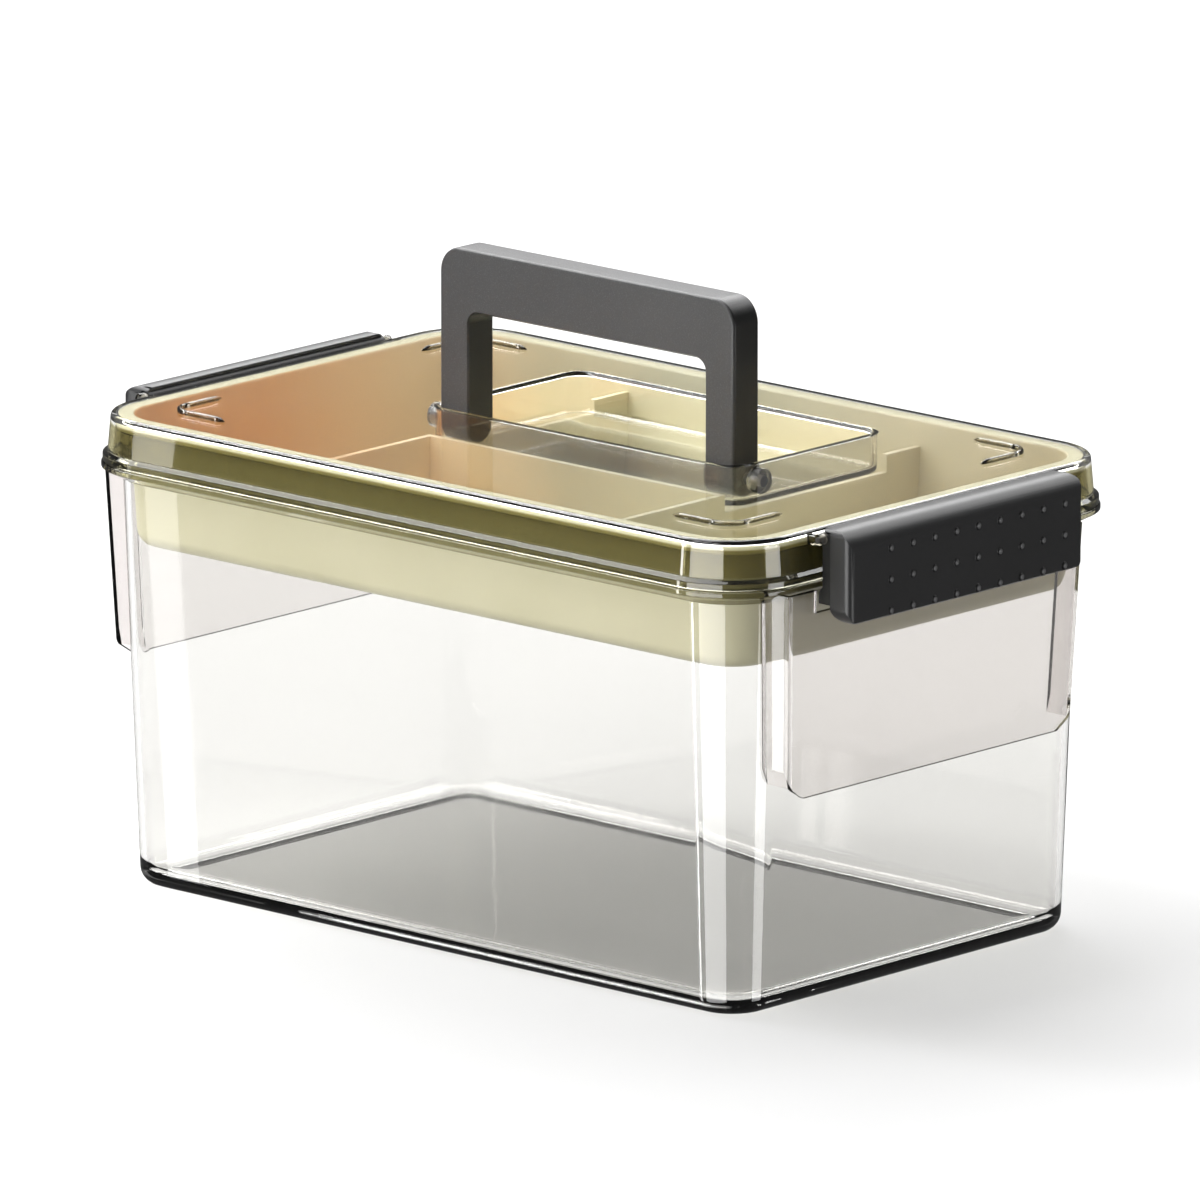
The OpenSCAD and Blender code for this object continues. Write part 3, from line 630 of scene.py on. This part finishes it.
for member in ("latch_left_cover", "latch_right_cover"):
    mesh = copies[member].data
    proud = np.clip((along_x(mesh.vertices, "co") - PLATE_X) / DOT_PROUD, 0, 1)
    give_mark(mesh, "proud", "POINT", proud)
    print(member, "points on dots:", int((proud > 0.02).sum()))
flank = along_x(copies["handle"].data.polygons, "normal")
give_mark(copies["handle"].data, "flank", "FACE", flank)
print("handle faces on the flanks:", int((flank > 0.7).sum()))

# %% [markdown]
# ## Writing shaders as sums
#
# A material is easier to read as arithmetic than as a list of nodes. A small class wraps
# a socket, so that `0.4 + grain * 0.1` adds the Math nodes by itself. Colours go through
# Mix nodes, and everything else through one call that sets a node up and joins it.

# %% The socket class
class Wire:
    """A socket of a node tree that can be added, multiplied and mixed."""

    def __init__(self, tree, socket):
        self.tree, self.socket = tree, socket

    def node(self, kind, settings=None, outlet=0, **sockets):
        """A new node of a kind: its settings first, and then its sockets, by name or as s0, s1."""
        made = self.tree.nodes.new(kind)
        for key, value in (settings or {}).items():
            if key == "stops":
                ramp = made.color_ramp
                while len(ramp.elements) < len(value):
                    ramp.elements.new(0.5)
                for element, (place, colour) in zip(ramp.elements, value):
                    element.position = place
                    element.color = colour
            else:
                setattr(made, key, value)
        for key, value in sockets.items():
            index = int(key[1:]) if key[0] == "s" and key[1:].isdigit() else key.replace("_", " ")
            socket = made.inputs[index]
            if isinstance(value, Wire):
                self.tree.links.new(value.socket, socket)
            else:
                socket.default_value = value
        return Wire(self.tree, made.outputs[outlet])

    def math(self, operation, other, swap=False):
        """A Math node on this value and another, or the other way round."""
        first, second = (other, self) if swap else (self, other)
        return self.node("ShaderNodeMath", {"operation": operation}, s0=first, s1=second)

    def __add__(self, other): return self.math("ADD", other)
    def __radd__(self, other): return self.math("ADD", other, True)
    def __sub__(self, other): return self.math("SUBTRACT", other)
    def __rsub__(self, other): return self.math("SUBTRACT", other, True)
    def __mul__(self, other): return self.math("MULTIPLY", other)
    def __rmul__(self, other): return self.math("MULTIPLY", other, True)
    def __truediv__(self, other): return self.math("DIVIDE", other)
    def __rtruediv__(self, other): return self.math("DIVIDE", other, True)

    def between(self, low, high):
        """0 below low and 1 above high, with a smooth step between."""
        return self.node("ShaderNodeMapRange", {"interpolation_type": "SMOOTHSTEP"},
                         Value=self, From_Min=low, From_Max=high)

    def blend(self, one, other):
        """A colour between two, by this value."""
        return self.node("ShaderNodeMix", {"data_type": "RGBA"}, outlet=2,
                         s0=self, s6=one, s7=other)


def start(name):
    """An empty material with its output, and a Wire to build from."""
    material = bpy.data.materials.new(name)
    material.use_nodes = True
    material.node_tree.nodes.clear()
    return material, Wire(material.node_tree, None)


def place(wire):
    """Object coordinates, so that a pattern stays where it is on the piece."""
    return wire.node("ShaderNodeTexCoord", outlet="Object")


def part_of(wire, where, axis):
    """One of a place's three coordinates."""
    return wire.node("ShaderNodeSeparateXYZ", outlet=axis, s0=where)


def mark_of(wire, name):
    """A number that the mesh carries."""
    return wire.node("ShaderNodeAttribute", {"attribute_name": name}, outlet="Fac")


def noise(wire, where, scale, detail=3.0, rough=0.55):
    """Soft random blotches between 0 and 1, so many to a metre."""
    return wire.node("ShaderNodeTexNoise",
                     Vector=where, Scale=scale, Detail=detail, Roughness=rough)


def bump(wire, height, strength, distance):
    """A normal tilted by a height."""
    return wire.node("ShaderNodeBump", Height=height, Strength=strength, Distance=distance)


def finish_with(material, shader):
    """Joins a shader to the material's output."""
    out = material.node_tree.nodes.new("ShaderNodeOutputMaterial")
    material.node_tree.links.new(shader.socket, out.inputs["Surface"])
    return material


print("socket class ready")

# %% [markdown]
# ## Clear plastic
#
# The shell is a hard clear plastic with a faint smoky cast. It is glass to Blender, with
# real walls that bend the light. Handling leaves it a little duller in patches, and
# moulding leaves slow ripples. The lid's skirt overlaps the tub's neck, and there the real
# box looks dark olive, because little light comes back from between the two walls. That
# shade is painted in as a tint given by height, on the lid's rings that are marked as skirt
# and on the tub's flange below it. The grips are thin plates that stand off the wall: they
# get a greyer tint and bend the light less, so that their inner face doesn't turn into a
# mirror. The ribs and lugs are solid bars, which look darker than a wall, and that darkness
# is painted shade, a dark tint of their own. Light from the lamps is let straight through to
# the tray, as a thin wall does, because tracing it through every wall would only add noise.

# %% Clear plastic
# The two tints below are painted shade on the skirt and the flange, where little light comes back
# from between the walls.
SKIRT_PAINTED_SHADE, COLLAR_PAINTED_SHADE = (0.37, 0.34, 0.19, 1), (0.3, 0.285, 0.185, 1)
HARD_INDEX, SOFT_INDEX = 1.49, 1.3
CLEAN, DULL = 0.012, 0.045
THIN_WALL = (0.9, 0.9, 0.89, 1)


def step(height, low, high, soft=0.3 * MM):
    """1 between two heights and 0 outside them, with soft edges."""
    return height.between(low, low + soft) * (1 - height.between(high - soft, high))


def times(tint, share):
    """A tint times a number."""
    return tuple(c * share for c in tint[:3]) + (1,)


def clear_plastic(name, tint, zones=(), index=HARD_INDEX):
    """Glass with slow ripples and dull patches, that lets the lamps' light straight through.

    Each zone is the mark that it lies on, its lower and upper height, and its tint.
    """
    material, w = start(name)
    where = place(w)
    smear = noise(w, where, 14, 5, 0.6).between(0.45, 0.75)
    fine = noise(w, where, 900, 2)
    ripple = noise(w, where, 9, 1.5, 0.4)
    colour = noise(w, where, 5, 2).blend(tint, times(tint, 0.97))
    for mark, low, high, zone in zones:
        mask = step(part_of(w, where, "Z"), low, high)
        colour = (mask * mark_of(w, mark) if mark else mask).blend(colour, zone)
    glass = w.node("ShaderNodeBsdfPrincipled", **{
        "Base Color": colour, "Roughness": CLEAN + smear * (DULL - CLEAN) + fine * 0.005,
        "IOR": index, "Transmission Weight": 1.0,
        "Normal": bump(w, ripple, 0.05, 0.0012)})
    through = w.node("ShaderNodeBsdfTransparent", Color=THIN_WALL)
    is_shadow = w.node("ShaderNodeLightPath", outlet="Is Shadow Ray")
    return finish_with(material, w.node("ShaderNodeMixShader", s0=is_shadow, s1=glass, s2=through))


tub_clear = clear_plastic("tub_clear", (0.88, 0.875, 0.86, 1), [
    (None, FLANGE_LOW - 0.2 * MM, FLANGE_Z + 0.1 * MM, COLLAR_PAINTED_SHADE)])
lid_clear = clear_plastic("lid_clear", (0.955, 0.955, 0.94, 1), [
    ("skirt", SKIRT_Z - 1 * MM, SKIRT_Z + 4.0 * MM, COLLAR_PAINTED_SHADE),
    ("skirt", LIP_END, BOX_H - 3.2 * MM, SKIRT_PAINTED_SHADE)])
# Painted shade: the ribs and lugs get a dark tint for the dark look of a solid clear bar.
rib_painted_shade = clear_plastic("rib_painted_shade", (0.3, 0.28, 0.22, 1))
grip_clear = clear_plastic("grip_clear", (0.85, 0.825, 0.815, 1), index=SOFT_INDEX)
clear_pieces = [(tub_clear, [tub]), (grip_clear, grips), (lid_clear, [lid] + bosses),
                (rib_painted_shade, ribs + lugs)]
for material, pieces in clear_pieces:
    for piece in pieces:
        piece.data.materials.append(material)
print("clear plastic on", sum(len(pieces) for _, pieces in clear_pieces), "pieces")

# %% [markdown]
# ## Cream and charcoal plastics
#
# The tray is opaque cream with a soft, slightly mottled skin. Its inside gets painted shade
# and warm bounced light: a warm tan at the left front that turns to a paler beige towards
# the right and the back, so the colour follows x plus y through a ramp. The dividers take the
# same painted ramp all over. The handle is charcoal with a fine spark-eroded grain that is
# paler in specks, and painted shade on its flanks. The latches are smoother, with a painted
# highlight on the crowns of their dots and painted shade round their feet; their clips are
# plain black, and the pins are drawn steel wire. One function makes them all, because they
# differ only in colour, gloss, grain and marks.

# %% Opaque plastics and steel
# Painted shade and warm bounced light for the tray's inside: darker tan at the left front, paler
# towards the right and back.
TRAY_PAINTED_LIGHT_RAMP = [(0.1, (0.66, 0.365, 0.13, 1)), (0.3, (0.84, 0.66, 0.4, 1)),
        (0.44, (0.5, 0.465, 0.31, 1)), (0.6, (0.64, 0.61, 0.43, 1)),
        (0.82, (0.66, 0.59, 0.41, 1)), (1.0, (0.52, 0.45, 0.29, 1))]
WARM_FROM, WARM_RUN = 0.2, 0.42
# Painted shade on the handle's flanks, darker than its front.
FLANK_PAINTED_SHADE = (0.004, 0.004, 0.0042, 1)
# Painted shade round the feet of the grip dots and a painted highlight on their crowns.
DOT_FOOT_PAINTED_SHADE, DOT_CROWN_PAINTED_HIGHLIGHT = (0.003, 0.003, 0.003, 1), (0.11, 0.11, 0.112, 1)


def painted_light_ramp(w, where, mottle):
    """The tray's painted shade and warm bounced light by x plus y, with an edge that the mottling
    moves a little.
    """
    along = part_of(w, where, "X") + part_of(w, where, "Y")
    shift = (along + WARM_FROM + (mottle - 0.5) * 0.03) / WARM_RUN
    return w.node("ShaderNodeValToRGB", {"stops": TRAY_PAINTED_LIGHT_RAMP}, s0=shift)


def opaque(name, base, other, rough, grain, depth, warm="", metal=0.0, speck=0.0, marks=()):
    """A moulded skin: slow mottling in colour and gloss, and a fine grain in gloss and height.

    One argument says where the tray's ramp of painted shade and warm bounced light rules: on a
    mark, on all or nowhere. Each of the marks is an attribute's name, the two values it fades
    in between, and the colour of light or shade that it paints.
    """
    material, w = start(name)
    where = place(w)
    mottle = noise(w, where, 22, 4)
    grit = noise(w, where, grain, 3, 0.6)
    colour = mottle.between(0.3, 0.7).blend(base, other)
    if warm == "all":
        colour = painted_light_ramp(w, where, mottle)
    elif warm:
        colour = mark_of(w, warm).blend(colour, painted_light_ramp(w, where, mottle))
    if speck:
        colour = grit.between(0.5, 0.75).blend(colour, times(base, 1 + speck))
    for mark, low, high, tone in marks:
        colour = mark_of(w, mark).between(low, high).blend(colour, tone)
    shader = w.node("ShaderNodeBsdfPrincipled", **{
        "Base Color": colour, "Roughness": rough + (mottle - 0.5) * 0.08 + (grit - 0.5) * 0.1,
        "Metallic": metal, "Normal": bump(w, grit, 0.25, depth)})
    return finish_with(material, shader)


cream = opaque("tray_cream", (0.56, 0.53, 0.36, 1), (0.53, 0.5, 0.33, 1),
               0.42, 1400, 0.0002, warm="inside")
divider_cream = opaque("divider_cream", (0.6, 0.5, 0.3, 1), (0.58, 0.48, 0.28, 1),
                       0.42, 1400, 0.0002, warm="all")
handle_grey = opaque("handle_charcoal", (0.031, 0.031, 0.032, 1), (0.027, 0.027, 0.028, 1),
                     0.38, 2600, 0.0003, speck=1.2, marks=[("flank", 0.35, 0.9, FLANK_PAINTED_SHADE)])
latch_grey = opaque("latch_charcoal", (0.023, 0.023, 0.024, 1), (0.019, 0.019, 0.0195, 1),
                    0.38, 2200, 0.00015,
                    marks=[("proud", 0.02, 0.15, DOT_FOOT_PAINTED_SHADE), ("proud", 0.5, 0.85, DOT_CROWN_PAINTED_HIGHLIGHT)])
clip_black = opaque("clip_black", (0.006, 0.006, 0.007, 1), (0.005, 0.005, 0.005, 1),
                    0.45, 1800, 0.0002)
steel = opaque("pin_steel", (0.5, 0.5, 0.51, 1), (0.42, 0.42, 0.43, 1),
               0.3, 3000, 0.0001, metal=1.0)
tray.data.materials.append(cream)
by_slot = {"tray_cream": divider_cream, "handle_charcoal": handle_grey,
           "latch_charcoal": latch_grey, "clip_black": clip_black, "pin_steel": steel}
for member, piece in copies.items():
    piece.data.materials.append(by_slot[slots[member]])
print("finishes:", [m.name for m in bpy.data.materials])

# %% [markdown]
# ## The studio
#
# The box stands on a pale floor in a dim room: clear plastic only shows its shape when its
# flat faces have something dark to mirror and its rounded corners something bright. The
# floor could be a plain lit sheet, but then every clear wall would mirror it and turn
# milky. So it isn't seen in reflections, and it glows a little, as a lit table does.

# %% Floor
FLOOR_NEAR, FLOOR_FAR, FLOOR_REACH = -1.5, 2.0, 1.3


def floor_sheet(name):
    """A flat grid that runs along the camera's view, wide enough to fill the picture.

    A point is so far along the view plus so far across it, both on the floor.
    """
    along = np.array([look.x, look.y]) / np.hypot(look.x, look.y)
    cross = np.array([right.x, right.y])
    far = np.linspace(FLOOR_NEAR, FLOOR_FAR, 14)[:, None, None] * along
    flat = far + np.linspace(-FLOOR_REACH, FLOOR_REACH, 7)[None, :, None] * cross
    grid = np.dstack([flat, np.zeros(flat.shape[:2])])
    faces = [f[::-1] for f in band_faces(*grid.shape[:2], closed=False)]
    mesh = bpy.data.meshes.new(name)
    mesh.from_pydata(grid.reshape(-1, 3), [], faces)
    piece = bpy.data.objects.new(name, mesh)
    bpy.context.scene.collection.objects.link(piece)
    piece.visible_glossy = False
    return piece


studio_floor = floor_sheet("studio_floor")
paper, w = start("paper")
where = place(w)
shade = noise(w, where, 3, 3).blend((0.44, 0.44, 0.44, 1), (0.46, 0.46, 0.46, 1))
tooth = noise(w, where, 600, 2)
studio_floor.data.materials.append(finish_with(paper, w.node("ShaderNodeBsdfPrincipled", **{
    "Base Color": shade, "Roughness": 0.9, "Emission Color": (1, 1, 1, 1),
    "Emission Strength": 0.25, "Normal": bump(w, tooth, 0.1, 0.0005)})))
print("floor faces:", len(studio_floor.data.polygons))

# %% [markdown]
# ## The lamps
#
# Each lamp is there for what it draws. In front, a wide low box makes the broad bands down
# the front corner, a thin strip lights the wall and the handle's front, and a box on the
# right makes the second band. Three cards, close by and narrow, give the thin bright lines
# on the wall, the skirt and the grip's plate. From above, a front lamp and an overhead
# one light the tray, two behind pale the tops of the latches and the handle, and a small
# key on the left picks out the long edges. Those behind stand steeper than the camera, so
# that the flat lid doesn't mirror them. What is seen directly or through the plastic is
# white, and after any bounce the room is dim.

# %% Lamps
def soft_box(name, spot, target, size, power):
    """An area lamp at a spot, aimed at a target."""
    lamp = bpy.data.objects.new(name, bpy.data.lights.new(name, "AREA"))
    lamp.data.shape = "RECTANGLE"
    lamp.data.size, lamp.data.size_y = size
    lamp.data.energy = power
    lamp.location = spot
    lamp.rotation_mode = "QUATERNION"
    lamp.rotation_quaternion = (Vector(target) - Vector(spot)).to_track_quat("-Z", "Y")
    bpy.context.scene.collection.objects.link(lamp)
    return lamp


def around(azimuth, distance, height):
    """A spot at an angle round the box, counted from +X towards +Y."""
    turn = math.radians(azimuth)
    return (distance * math.cos(turn), distance * math.sin(turn), height)


LOW, LOWEST, RIGHT_LOW = -0.2, -0.675, -0.425
soft_box("bands", around(-84.5, 2.5, LOWEST), (0, 0, LOWEST), (2.3, 1.75), 95)
soft_box("thin_strip", around(-123, 2.3, LOW), (0, 0, LOW), (0.18, 2.2), 20)
soft_box("right_strip", around(11, 2.2, RIGHT_LOW), (0, 0, RIGHT_LOW), (0.9, 1.15), 21)
soft_box("side_card", (-0.474, -0.4555, -0.07), (-0.03, -0.0955, -0.07), (0.0115, 0.22), 0.028)
soft_box("skirt_card", (-0.446, -0.4555, 0.13), (0.0, -0.0955, 0.13), (0.016, 0.14), 0.03)
soft_box("plate_card", (-0.158, -0.407, -0.055), (0.150, -0.079, -0.055), (0.007, 0.17), 0.021)
soft_box("front_top", around(-95, 1.75, 1.75), (0, 0, 0.15), (1.6, 1.1), 30)
soft_box("overhead", (-1.3, 0.0, 2.3), (-0.2, 0, 0), (2.4, 2.4), 84)
soft_box("behind", (-0.675 * 2.3, 0.738 * 2.3, 1.84), (0, 0, 0.17), (1.9, 1.3), 55)
soft_box("behind_right", around(86, 2.3, 2.0), (0.16, 0, 0.16), (1.5, 1.2), 26)
soft_box("edge_key", (-1.18, -0.38, 1.43), (0, 0, 0.17), (0.3, 0.8), 12)

# %% The room
DIM_ROOM, SEEN_WHITE = 0.13, 0.87
world = bpy.data.worlds.new("studio_air")
world.use_nodes = True
tree = world.node_tree
tree.nodes.clear()
air = Wire(tree, None)


def ray(outlet):
    """What the light path says of the ray that meets the room."""
    return air.node("ShaderNodeLightPath", outlet=outlet)


seen = ray("Is Camera Ray").math("MAXIMUM", ray("Is Transmission Ray"))
bounced = (ray("Diffuse Depth") + ray("Glossy Depth")).math("MINIMUM", 1.0)
strength = DIM_ROOM + seen * (1 - bounced) * SEEN_WHITE
sky = air.node("ShaderNodeBackground", Color=(1, 1, 1, 1), Strength=strength)
tree.links.new(sky.socket, tree.nodes.new("ShaderNodeOutputWorld").inputs["Surface"])
bpy.context.scene.world = world
bpy.context.scene.view_settings.view_transform = "Standard"
print("room strength from", DIM_ROOM, "to", DIM_ROOM + SEEN_WHITE)
